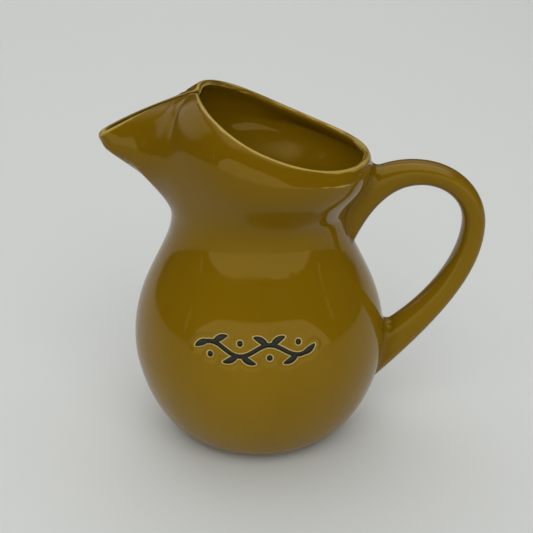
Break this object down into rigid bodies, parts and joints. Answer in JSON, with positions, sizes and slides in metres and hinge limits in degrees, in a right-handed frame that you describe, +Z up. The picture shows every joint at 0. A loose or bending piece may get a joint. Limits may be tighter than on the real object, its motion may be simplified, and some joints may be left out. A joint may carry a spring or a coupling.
{
  "type": "ceramic jug",
  "caption": "Round-bellied glazed stoneware jug with a flared mouth, a pinched and covered pouring spout with a slit, and a strap handle.",
  "frame": {"origin": "middle of the foot ring, on the surface that the jug stands on", "axes": "+X towards the handle, -X towards the spout, +Z up; the jug is symmetric about the XZ plane"},
  "size_m": [0.1772, 0.12, 0.1692],
  "materials": {
    "glaze": "glossy ochre glaze"
  },
  "bodies": {
    "root": {"jug": "glaze"}
  },
  "joints": []
}
